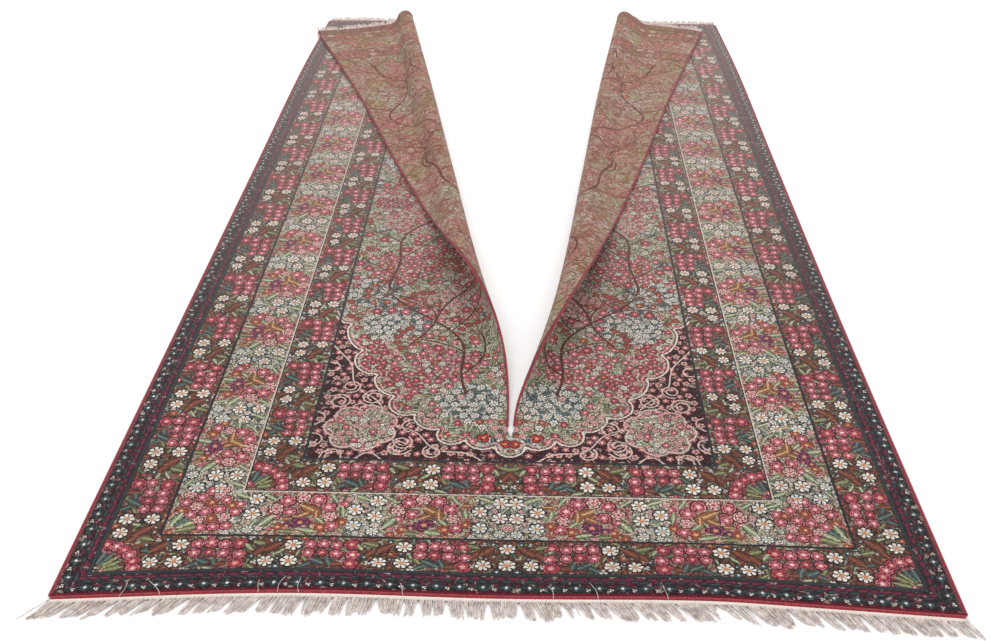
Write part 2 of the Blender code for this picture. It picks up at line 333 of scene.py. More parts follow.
def addFlower(across, up, size, bloom, turn=None):
    if 0.0 <= across <= halfWidth + 0.01:
        turn = dice.uniform(0, 6.28) if turn is None else turn
        flowers.append((across, up, size * dice.uniform(0.95, 1.05), turn, bloom))


# one repeat of the outer and inner strips in millimetres: bloom, along, inward, radius, turn
roseRepeat = [
    ("daisy", 0, 33, 28, None), ("daisy", 2, -33, 28, None), ("daisy", 60, -34, 26, None),
    ("rustLeaf", 52, 22, 34, 2.4), ("rustLeaf", 82, 6, 26, 2.2), ("tealBell", 98, -14, 12, None),
    ("whitePetal", 88, -38, 11, None), ("tealBell", 36, 52, 11, None), ("oliveLeaf", 84, 40, 26, 0.3),
    ("greenLeaf", 112, 26, 20, 1.0), ("whitePetal", 60, 50, 10, None), ("pinkRose", -44, 36, 21, None),
    ("pinkRose", -78, 40, 22, None), ("pinkRose", -112, 34, 21, None), ("deepRose", -150, 38, 25, None),
    ("pinkRose", -42, 0, 20, None), ("deepRose", -78, 2, 19, None), ("pinkRose", -114, -2, 21, None),
    ("pinkRose", -156, -6, 22, None), ("deepRose", -152, -42, 27, None), ("tealLeaf", -70, -34, 28, 0.5),
    ("tealLeaf", -46, -46, 22, 2.6), ("tealLeaf", -98, -36, 24, 1.2), ("rustLeaf", -112, -44, 24, 0.0),
    ("oliveLeaf", -36, -24, 17, 1.0),
]
meadowRepeat = [  # one repeat of the middle strip
    ("daisy", 0, 56, 27, None), ("daisy", 2, -2, 28, None), ("daisy", 56, 22, 26, None),
    ("blueDaisy", 54, -42, 27, None), ("blueDaisy", 2, -66, 20, None), ("greenLeaf", -40, -28, 34, 2.2),
    ("greenLeaf", -36, 64, 20, 0.6), ("greenLeaf", 40, 68, 26, 0.4), ("paleRose", -58, 20, 24, None),
    ("pinkRose", -84, 52, 25, None), ("paleRose", -122, 66, 25, None), ("pinkRose", -164, 58, 26, None),
    ("pinkRose", -196, 30, 25, None), ("paleRose", -204, -8, 22, None), ("pinkRose", -96, 8, 22, None),
    ("pinkRose", -60, -12, 18, None), ("brownLeaf", -146, 22, 34, 0.5), ("brownLeaf", -166, 8, 28, 1.5),
    ("brownLeaf", -134, 0, 26, 2.6), ("greenLeaf", -178, -22, 22, 0.8), ("mauveBloom", -130, -34, 30, None),
    ("mauveBloom", -96, -48, 20, None), ("rustRose", -74, -54, 20, None), ("rustRose", -184, -52, 24, None),
    ("pinkRose", -214, -44, 22, None), ("greenLeaf", -152, -66, 30, 0.2), ("greenLeaf", -206, 66, 20, 1.0),
    ("rustRose", -238, -30, 18, None), ("oliveLeaf", -98, -72, 26, 0.1), ("greenLeaf", -236, 14, 22, 1.4),
]


def stripPlace(strip, run, along, inward):
    # run is near, side or far: how far along the strip and in from its middle line
    middle = sum(strips[strip]) / 2 + inward
    if run == "near":
        return along, middle
    if run == "far":
        return along, rug["length"] - middle
    return halfWidth - middle, along


repeats = {  # how each strip is filled: middles along the ends, then first middle, period and count along the sides
    "outer": {"repeat": roseRepeat, "ends": [0.0, 0.262, 0.546, 0.832], "first": 0.268, "period": 0.274, "count": 15,
        "squeeze": 0.90, "tall": 1.0},
    "middle": {"repeat": meadowRepeat, "ends": [0.02, 0.349, 0.672], "first": 0.447, "period": 0.298, "count": 13,
        "squeeze": 0.95, "tall": 1.0},
    "inner": {"repeat": roseRepeat, "ends": [-0.075, 0.212, 0.501], "first": 0.60, "period": 0.245, "count": 14,
        "squeeze": 0.82, "tall": 0.93},
}


def layRepeats(strip, run, centres, squeeze, flip):
    high, tall = strips[strip][1], repeats[strip]["tall"]
    for centre in centres:
        for bloom, along, inward, size, turn in repeats[strip]["repeat"]:
            across, up = stripPlace(strip, run, centre + flip * along * squeeze / 1000, inward * tall / 1000)
            crossing = min(up, rug["length"] - up) if run == "side" else halfWidth - across
            if crossing > high - 0.012 and along * squeeze > -1000 * (centres[1] - centres[0]) + 20:
                addFlower(across, up, size * (squeeze + tall) / 2000, bloom, turn)


def layCorner(strip, size):
    # a half palmette with leaves fanning out of the corner
    low = strips[strip][0]
    for far in (False, True):
        def put(angle, reach, radius, bloom, turn=None):
            across = halfWidth - low - reach * math.cos(angle)
            up = low + reach * math.sin(angle)
            if turn is not None:
                turn = turn - math.pi if far else math.pi - turn
            addFlower(across, rug["length"] - up if far else up, radius, bloom, turn)
        if strip == "middle":
            limit = sum(strips[strip]) / 2 + 0.085
            inCorner = [f for f in flowers if max(halfWidth - f[0], min(f[1], rug["length"] - f[1])) < limit
                        and edgeDistance(f[0], f[1]) > low and ("aisy" in f[4] or "eaf" in f[4])
                        and (f[1] > rug["length"] / 2) == far]
            for flower in inCorner:
                flowers.remove(flower)
            leaves = ("greenLeaf", "tealLeaf", "greenLeaf", "oliveLeaf")
            roses = ("pinkRose", "rustRose", "pinkRose", "paleRose")
            for angle in (0.35, 0.62, 0.90, 1.20):
                put(angle, size * 0.40, size * 0.23, leaves[int(angle * 10) % 4], angle)
            for ring, count in ((0.62, 4), (0.84, 5), (1.06, 6), (1.28, 5), (1.42, 2)):
                for i in range(count):
                    angle = 0.10 + 1.37 * (i + 0.5) / count if ring < 1.2 else 0.42 + 0.73 * (i + 0.5) / count
                    put(angle, size * ring, size * 0.135, roses[(i + int(ring * 10)) % 4])
        else:
            for angle in (0.25, 0.55, 0.80, 1.05, 1.35):
                put(angle, size * 0.45, size * 0.24, ("greenLeaf", "tealLeaf", "oliveLeaf")[int(angle * 10) % 3], angle)
            for i in range(6):
                put(0.12 + 1.33 * i / 5, size * 0.88, size * 0.20, ("pinkRose", "deepRose")[i % 2])
            put(0.78, size * 1.16, size * 0.16, "rustLeaf", 0.8)


for strip, laid in repeats.items():
    layRepeats(strip, "near", laid["ends"], 1.0, 1)
    layRepeats(strip, "far", laid["ends"], 1.0, 1)
    sides = [laid["first"] + laid["period"] * i for i in range(laid["count"])]
    layRepeats(strip, "side", sides, laid["squeeze"], -1)
for strip, size in (("outer", 0.115), ("middle", 0.150), ("inner", 0.105)):
    layCorner(strip, size)

guardRow = {"pitch": 0.057, "blossom": 0.0150, "petal": 0.0085, "rowIn": 0.0225, "innerIn": 0.0485}
for number in range(80):
    along = guardRow["pitch"] * number
    for shift, inward, size, bloom in (
        (0.0, guardRow["rowIn"], guardRow["blossom"], "tealBell"),
        (0.5, guardRow["rowIn"] - 0.006, guardRow["petal"], "whitePetal"),
        (0.24, guardRow["rowIn"], 0.0110, "guardLeaf"),
        (0.76, guardRow["rowIn"], 0.0110, "guardLeaf"),
        (0.50, guardRow["rowIn"] + 0.006, 0.0100, "guardBud"),
        (0.00, guardRow["innerIn"] - 0.006, 0.0150, "guardLeaf"),
        (0.30, guardRow["innerIn"] + 0.004, 0.0140, "guardBud"),
        (0.55, guardRow["innerIn"] - 0.004, 0.0120, "guardLeaf"),
        (0.80, guardRow["innerIn"] + 0.004, 0.0140, "guardBud"),
    ):
        at = along + shift * guardRow["pitch"]
        if at < halfWidth - inward:
            addFlower(at, inward, size, bloom, 0.1)
            addFlower(at, rug["length"] - inward, size, bloom, 0.1)
        if inward < at < rug["length"] - inward:
            addFlower(halfWidth - inward, at, size, bloom, 1.5)


def smoothCurve(points, step=0.006):
    # evenly walked points on a curve through these
    out = []
    for i in range(len(points) - 1):
        p0, p1, p2, p3 = (Vector(points[clamp(i + k, 0, len(points) - 1)]) for k in (-1, 0, 1, 2))
        count = max(2, round((p2 - p1).length / step))
        for k in range(count):
            t = k / count
            bend, twist = 2 * p0 - 5 * p1 + 4 * p2 - p3, 3 * p1 - p0 - 3 * p2 + p3
            out.append(0.5 * (2 * p1 + (p2 - p0) * t + bend * t * t + twist * t ** 3))
    return out + [Vector(points[-1])]


# the field is a layout of its own, worked out by rule: a scalloped arch, a rosette, scrolls and a flowering tree
# the arch is one slow arc with scallops, large and small by turns, and dark spandrel outside it
arch = {"foot": (0.0, 0.590), "pull": (0.40, 0.610), "top": (0.610, 1.480), "lobes": 9, "deep": (0.044, 0.026),
    "steps": 90}


def archPoint(t):
    foot, pull, top = (Vector(arch[name]) for name in ("foot", "pull", "top"))
    spot = foot * (1 - t) ** 2 + pull * 2 * t * (1 - t) + top * t ** 2
    step = (pull - foot) * (1 - t) + (top - pull) * t
    return spot, Vector((step.y, -step.x)).normalized()  # the second points out to the spandrel


contour = []
for i in range(arch["steps"] + 1):
    t = 1 - i / arch["steps"]
    spot, out = archPoint(t)
    lobe = t * arch["lobes"] + 0.5
    spot = spot + out * arch["deep"][int(lobe) % 2] * abs(math.sin(math.pi * lobe)) ** 0.6
    contour.append((spot.x, spot.y))
fieldLoop = contour + [(-0.2, contour[-1][1]), (-0.2, 9.0), (contour[0][0], 9.0)]

roundel = {"across": 0.434, "up": 0.668, "reach": 0.066, "lobe": 0.041, "lobes": 7}
rosette = [(roundel["across"], roundel["up"], roundel["reach"])]  # its lobes: across, up, radius
for k in range(roundel["lobes"]):
    angle = fullTurn * k / roundel["lobes"]
    a, b = roundel["reach"] * math.cos(angle), roundel["reach"] * math.sin(angle)
    rosette.append((roundel["across"] + a, roundel["up"] + b, roundel["lobe"]))


def inRosette(across, up):
    return any(math.hypot(across - a, up - b) < radius + 0.001 for a, b, radius in rosette)


def insideContour(across, up):
    # even-odd count against the scalloped edge, closed far above and along the slit
    if up > 1.52:
        return True
    inside = False
    for (a, b), (c, d) in zip(fieldLoop, fieldLoop[1:] + fieldLoop[:1]):
        if (b > up) != (d > up) and across < (c - a) * (up - b) / (d - b) + a:
            inside = not inside
    return inside


def inField(across, up):
    return 0.008 < across and edgeDistance(across, up) > fieldEdge + 0.012 and insideContour(across, up)


taken = {}   # flowers by 5 cm square, to find free ground quickly


def take(across, up, size):
    taken.setdefault((int(across / 0.05), int(up / 0.05)), []).append((across, up, size))


def isFree(across, up, size, share=0.85):
    column, row = int(across / 0.05), int(up / 0.05)
    near = (f for i in (-1, 0, 1) for j in (-1, 0, 1) for f in taken.get((column + i, row + j), ()))
    return all(math.hypot(across - a, up - b) > (size + r) * share for a, b, r in near)


def plant(across, up, size, bloom):
    if inField(across, up) and isFree(across, up, size):
        addFlower(across, up, size, bloom)
        take(across, up, size)


for across, up, size, turn, bloom in flowers:
    take(across, up, size * (0.62 if bloom.endswith("Leaf") else 1.0))

ivory, stemBrown, ochre, pinkLine = "#D2B8AE", "#54241E", "#74492F", "#D9A3A3"


def drawOnDark(width, tone, points):
    # keeps what lies on the spandrel's dark ground
    run = []
    for across, up in points + [(0.0, 0.0)]:
        inBed = across > 0.0 and edgeDistance(across, up) > fieldEdge + 0.008
        onDark = inBed and not insideContour(across, up) and not inRosette(across, up)
        if not onDark and len(run) > 3:
            curves.append((width, tone, run))
        run = run + [(across, up)] if onDark else []


scroll = {"off": 0.068, "sway": 0.012, "curls": 11, "curl": 0.030, "thick": 0.0022}
stem = []
for k in range(161):  # an ivory stem that follows the arch, swaying once for each pair of curls
    spot, out = archPoint(k / 160)
    spot = spot + out * (scroll["off"] + scroll["sway"] * math.sin(fullTurn / 2 * scroll["curls"] * k / 160))
    stem.append((spot.x, spot.y))
drawOnDark(scroll["thick"], ivory, stem)


def drawCurl(across, up, reach, shrink, start, turn, count):
    curl = []
    for k in range(count):
        radius = reach * (1 - shrink * k / (count - 1))
        curl.append((across + radius * math.cos(start + turn * k), up + radius * math.sin(start + turn * k)))
    drawOnDark(scroll["thick"], ivory, curl)


for number in range(scroll["curls"]):
    spot, out = archPoint((number + 0.5) / scroll["curls"])
    centre = spot + out * (scroll["off"] + 0.026 + 0.020 * (number % 2))
    drawCurl(centre.x, centre.y, scroll["curl"], 0.62, 0.8 * number, 0.36 if number % 2 else -0.36, 26)
for number in range(9):  # curls in a ring round the rosette
    angle = fullTurn * number / 9 + 0.3
    a, b = roundel["across"] + 0.146 * math.cos(angle), roundel["up"] + 0.146 * math.sin(angle)
    drawCurl(a, b, 0.034, 0.55, angle, 0.38 if number % 2 else -0.38, 24)
for number, (a, b, radius) in enumerate(rosette):  # only the outside of each lobe is outlined
    run = []
    for k in range(49):
        x, y = a + radius * math.cos(2 * fullTurn * k / 48), b + radius * math.sin(2 * fullTurn * k / 48)
        hidden = any(i != number and math.hypot(x - c, y - d) < r for i, (c, d, r) in enumerate(rosette))
        if hidden and len(run) > 2:
            curves.append((0.0026, (pinkLine, ivory)[number % 2], run))
        run = [] if hidden else run + [(x, y)]

# the tree: two swaying stems, boughs to left and right by turns, each ending in a fan of twigs with tulips
boughs = {"stem": 0.0046, "second": 0.0040, "branch": 0.0032, "twig": 0.0025, "middle": 0.285, "sway": 0.165,
    "wave": 1.46, "kink": 0.034, "kinkWave": 0.47, "every": 0.12, "reach": 0.200, "twigLong": 0.075}
growth = random.Random(23)


def growBough(across, up, side):
    heading, reach = math.pi / 2 - side * growth.uniform(0.55, 1.0), boughs["reach"] * growth.uniform(0.75, 1.25)
    bend = side * growth.uniform(-0.16, 0.22)
    points = [(across, up)]
    for k in range(7):
        heading += bend
        across += reach / 7 * math.cos(heading)
        up += reach / 7 * math.sin(heading)
        if inField(across, up):
            points.append((across, up))
    if len(points) < 4:
        return
    across, up = points[-1]
    curves.append((boughs["branch"], stemBrown, points))
    for spread in (-0.85, -0.42, 0.05, 0.46, 0.90):
        turned = heading + spread
        tip = (across + boughs["twigLong"] * math.cos(turned), up + boughs["twigLong"] * math.sin(turned))
        middle = ((across + tip[0]) / 2 + 0.008 * math.sin(turned), (up + tip[1]) / 2 - 0.008 * math.cos(turned))
        if inField(*tip):
            curves.append((boughs["twig"], ochre, [(across, up), middle, tip]))
            plant(tip[0], tip[1], 0.016, "redTulip")
            plant(tip[0] + 0.026 * math.cos(turned + 1.2), tip[1] + 0.026 * math.sin(turned + 1.2), 0.015, "redTulip")
    for k in (2, 4, 6):  # roses beside the bough, roses or leaves on its other side
        if k < len(points):
            a, b = points[k]
            plant(a + 0.030 * math.sin(heading), b - 0.030 * math.cos(heading), 0.021,
                growth.choice(["deepRose", "pinkRose", "deepRose"]))
            plant(a - 0.027 * math.sin(heading), b + 0.027 * math.cos(heading), 0.018,
                growth.choice(["pinkRose", "greenLeaf", "rustRose"]))


for phase, start, stop, wide in ((0.9, 0.86, 3.80, boughs["stem"]), (4.2, 1.10, 3.78, boughs["second"])):
    line = []
    for k in range(int((stop - start) / 0.04)):
        up = start + 0.04 * k
        sway = boughs["sway"] * math.sin(fullTurn * up / boughs["wave"] + phase)
        kink = boughs["kink"] * math.sin(fullTurn * up / boughs["kinkWave"] + 2 * phase)
        line.append((boughs["middle"] + sway + kink, up))
    line = [spot for spot in line if inField(*spot)]
    curves.append((wide, stemBrown, line))
    every = round(boughs["every"] / 0.04)
    for number, (across, up) in enumerate(line[2::every]):
        growBough(across, up, 1 if number % 2 else -1)
for k in range(4):  # a small red palmette over the foot of the arch
    plant(0.016 + 0.030 * k, arch["foot"][1] + 0.012 + 0.014 * k, 0.022, "redTulip")

patchKinds = ["blueDaisy", "deepRose", "paleRose", "pinkRose", "fieldDaisy", "deepRose", "greenLeaf"]
patches = []  # across, up, reach, what fills it: two to a row, staggered
for row in range(17):
    for column in range(2):
        across = 0.12 + 0.27 * column + 0.09 * (row % 2)
        patches.append((across, 0.80 + 0.180 * row + 0.07 * column, 0.092 + 0.022 * ((row + column) % 2),
            patchKinds[(3 * row + 5 * column) % 7]))
fieldKinds = ["paleRose", "pinkRose", "fieldDaisy", "greenLeaf", "pinkRose", "paleRose", "creamLeaf", "deepRose"]
rosetteKinds = ["paleRose", "pinkRose", "fieldDaisy", "greenLeaf", "paleRose", "creamLeaf"]
grid = 0.0310
for row in range(1, 112):
    for column in range(0, 20):
        across = (column + 0.5 * (row % 2)) * grid + dice.uniform(-0.006, 0.006)
        up = fieldEdge + row * grid * 0.94 + dice.uniform(-0.006, 0.006)
        if across > halfWidth - fieldEdge - 0.012 or up > rug["length"] - fieldEdge - 0.012:
            continue
        if insideContour(across, up):
            bloom, size = dice.choice(fieldKinds), 0.0155
            for a, b, reach, kind in patches:
                if math.hypot(across - a, up - b) < reach and dice.random() < 0.85:
                    bloom, size = kind, 0.0185 if kind == "blueDaisy" else size
        elif inRosette(across, up):
            bloom, size = dice.choice(rosetteKinds), 0.0140
        else:
            bloom, size = dice.choice(["creamStar", "pinkStar", "pinkStar"]), 0.0145
        if isFree(across, up, size):
            addFlower(across, up, size, bloom)
            take(across, up, size)
print("design drawn:", len(flowers), "flowers and", len(curves), "vines on each half")

# what lies under the flowers: ground, then two fillings
grounds = {
    "edge": ("#74172A", "#74172A", "#74172A"),
    "guardOuter": ("#1F161E", "#262E32", "#401723"),
    "guardInner": ("#491424", "#24222C", "#5E1A2C"),
    "roseBlock": ("#6E3A32", "#97505A", "#5C5844"),
    "daisyBlock": ("#5C4236", "#7C4234", "#6E6C50"),
    "middleDaisy": ("#B5A897", "#7E8678", "#C2B6A8"),
    "middleRose": ("#BA9A8C", "#BC686A", "#A3947A"),
    "spandrel": ("#2E0713", "#3C0D1A", "#4C1722"),
    "rosette": ("#D6CCBE", "#CB8C8A", "#A7A88F"),
    "fieldPink": ("#C4B8AA", "#BC6268", "#A9A38E"),
    "fieldGreen": ("#B2AE9A", "#838B6C", "#B8AC9A"),
    "fieldBlue": ("#B2B0A6", "#5C6A6C", "#C2BBB0"),
}
patchGrounds = {"greenLeaf": "fieldGreen", "blueDaisy": "fieldBlue", "fieldDaisy": "fieldBlue"}


def groundAt(across, up):
    inward = edgeDistance(across, up)
    run = "near" if inward == up else ("far" if inward == rug["length"] - up else "side")
    along = up if run == "side" else across
    if inward < 0.004:
        return "edge"
    if inward < 0.038:
        return "guardOuter"
    if inward < 0.066:
        return "guardInner"
    for strip in ("outer", "inner", "middle"):
        (start, end), laid = strips[strip], repeats[strip]
        margin = 0.008 if strip == "middle" else 0.006
        if not start - margin < inward < end + margin:
            continue
        if strip == "middle" and run == "side":
            offset = ((along - laid["first"]) / laid["period"]) % 1.0
            return "middleDaisy" if offset < 0.12 or offset > 0.70 else "middleRose"
        if run == "side":
            number = round((along - laid["first"]) / laid["period"])
            offset = (laid["first"] + number * laid["period"] - along) / 0.88
        else:
            offset = min((along - c for c in laid["ends"]), key=abs)
        if strip == "middle":
            return "middleDaisy" if -0.03 < offset < 0.075 else "middleRose"
        return "daisyBlock" if -0.030 < offset < 0.115 else "roseBlock"
    if not insideContour(across, up):
        return "rosette" if inRosette(across, up) else "spandrel"
    for a, b, reach, kind in patches:
        if math.hypot(across - a, up - b) < reach:
            return patchGrounds.get(kind, "fieldPink")
    drift = 0.5 + 0.5 * noise.noise(Vector((across * 9, up * 9, 0)))
    return ("fieldPink", "fieldGreen", "fieldBlue")[int(3 * drift * 0.999)]


smallBlooms = {  # what fills the free ground of each zone, small
    "roseBlock": ["pinkRose", "deepRose", "rustLeaf", "oliveLeaf", "greenLeaf", "paleRose"],
    "daisyBlock": ["rustLeaf", "oliveLeaf", "greenLeaf", "tealBell", "whitePetal", "rustLeaf", "tealLeaf", "rustRose"],
    "middleDaisy": ["blueDaisy", "greenLeaf", "fieldDaisy", "blueDaisy", "paleRose", "creamLeaf"],
    "middleRose": ["pinkRose", "paleRose", "creamLeaf", "brownLeaf", "rustRose", "greenLeaf", "creamLeaf"],
    "fieldPink": ["creamLeaf", "pinkRose", "rustRose", "fieldDaisy", "paleRose"],
    "fieldGreen": ["greenLeaf", "oliveLeaf", "fieldDaisy", "redTulip", "creamLeaf"],
    "fieldBlue": ["blueDaisy", "fieldDaisy", "tealLeaf"],
    "rosette": ["paleRose", "creamLeaf", "fieldDaisy", "pinkRose", "greenLeaf"],
}
for size, grid in ((0.0135, 0.020), (0.0085, 0.013)):
    for row in range(int(rug["length"] / grid)):
        for column in range(int(halfWidth / grid)):
            across = (column + 0.5 * (row % 2)) * grid + dice.uniform(-0.3, 0.3) * grid
            up = row * grid + dice.uniform(-0.3, 0.3) * grid
            zone = groundAt(across, up) if 0.075 < edgeDistance(across, up) and across > 0 else ""
            if zone in smallBlooms and isFree(across, up, size, 0.80):
                bloom = dice.choice(smallBlooms[zone])
                addFlower(across, up, size * (1.35 if bloom.endswith("Leaf") else 1.0), bloom)
                take(across, up, size)
print("free ground filled:", len(flowers), "flowers now")


def searchTree(points):
    tree = kdtree.KDTree(len(points))
    for i, point in enumerate(points):
        tree.insert(point, i)
    tree.balance()
    return tree


def distanceToContour(across, up, samples):
    place, index, distance = samples.find(Vector((across, up, 0.0)))
    return -distance if insideContour(across, up) else distance


def drawDesign(mesh, flat):
    # flat holds each vertex's own across (signed) and up
    flowerTree = searchTree([Vector((f[0], f[1], 0.0)) for f in flowers])
    walked = [(curve, p, q) for curve in curves for p, q in zip(smoothCurve(curve[2]), smoothCurve(curve[2])[1:])
        if (q - p).length > 1e-6]
    vineTree = searchTree([((p + q) / 2).to_3d() for curve, p, q in walked])
    edgeTree = searchTree([p.to_3d() for p in smoothCurve(contour, 0.004)])

    tones = set(c for g in grounds.values() for c in g) | set(c for b in blooms.values() for c in b[4:])
    colours = {name: linear(name) for name in tones | set(c[1] for c in curves)}
    layers = {name: [] for name in ("ground", "fillingOne", "fillingTwo")}
    bedEdge = []
    for x, y in flat:
        names = grounds[groundAt(abs(x), y)]
        for layer, name in zip(layers, names):
            layers[layer].extend(colours[name])
        nearContour = y < 1.55 and edgeDistance(abs(x), y) > fieldEdge - 0.02
        bedEdge.append(distanceToContour(abs(x), y, edgeTree) if nearContour else -0.2)
    for layer, values in layers.items():
        mesh.attributes.new(layer, "FLOAT_COLOR", "POINT").data.foreach_set("color", values)
    mesh.attributes.new("bedEdge", "FLOAT", "POINT").data.foreach_set("value", bedEdge)
    places = [v for x, y in flat for v in (x, y, 0.0)]
    mesh.attributes.new("flatPlace", "FLOAT_VECTOR", "POINT").data.foreach_set("vector", places)

    bloomPlace, bloomShape, bloomPetal, bloomRim, bloomHeart, vinePlace, vineTone = [], [], [], [], [], [], []
    for polygon in mesh.polygons:
        corners = [flat[i] for i in polygon.vertices]
        count = len(corners)
        middle = Vector((sum(abs(x) for x, y in corners) / count, sum(y for x, y in corners) / count, 0.0))
        best = min(flowerTree.find_n(middle, 7), key=lambda found: found[2] - flowers[found[1]][2])
        across, up, size, turn, bloom = flowers[best[1]]
        petals, notch, heart, ring, petalTone, rimTone, heartTone = blooms[bloom]
        cosine, sine = math.cos(turn) / size, math.sin(turn) / size
        for x, y in corners:
            a, b = abs(x) - across, y - up
            bloomPlace.extend((a * cosine + b * sine, b * cosine - a * sine, 0.0))
        bloomShape.extend((petals / 10, notch, heart, ring))
        bloomPetal.extend(colours[petalTone])
        bloomRim.extend(colours[rimTone])
        bloomHeart.extend(colours[heartTone])
        place, index, distance = vineTree.find(middle)
        (width, tone, points), p, q = walked[index]
        step = (q - p).normalized()
        for x, y in corners:
            offset = (abs(x) - p.x) * step.y - (y - p.y) * step.x
            vinePlace.extend((offset / width if distance < 0.03 else 9.0, 0.0, 0.0))
        vineTone.extend(colours[tone])
    mesh.attributes.new("bloomPlace", "FLOAT_VECTOR", "CORNER").data.foreach_set("vector", bloomPlace)
    mesh.attributes.new("vinePlace", "FLOAT_VECTOR", "CORNER").data.foreach_set("vector", vinePlace)
    for name, values in (
        ("bloomShape", bloomShape), ("bloomPetal", bloomPetal), ("bloomRim", bloomRim), ("bloomHeart", bloomHeart),
        ("vineTone", vineTone),
    ):
        mesh.attributes.new(name, "FLOAT_COLOR", "FACE").data.foreach_set("color", values)


weave = {
    "knots": 160.0,      # 6 mm, three real knots, so that they show
    "scraps": 92.0,      # the leaf-shaped scraps on the ground, 11 mm across
    "specks": 200.0,     # dye taken unevenly, 5 mm
    "scrapDrift": 0.030,
    "pale": "#CDBFB0",
    "bloomWander": 55,   # how much stronger a bloom's outline strays, in its own radii
}


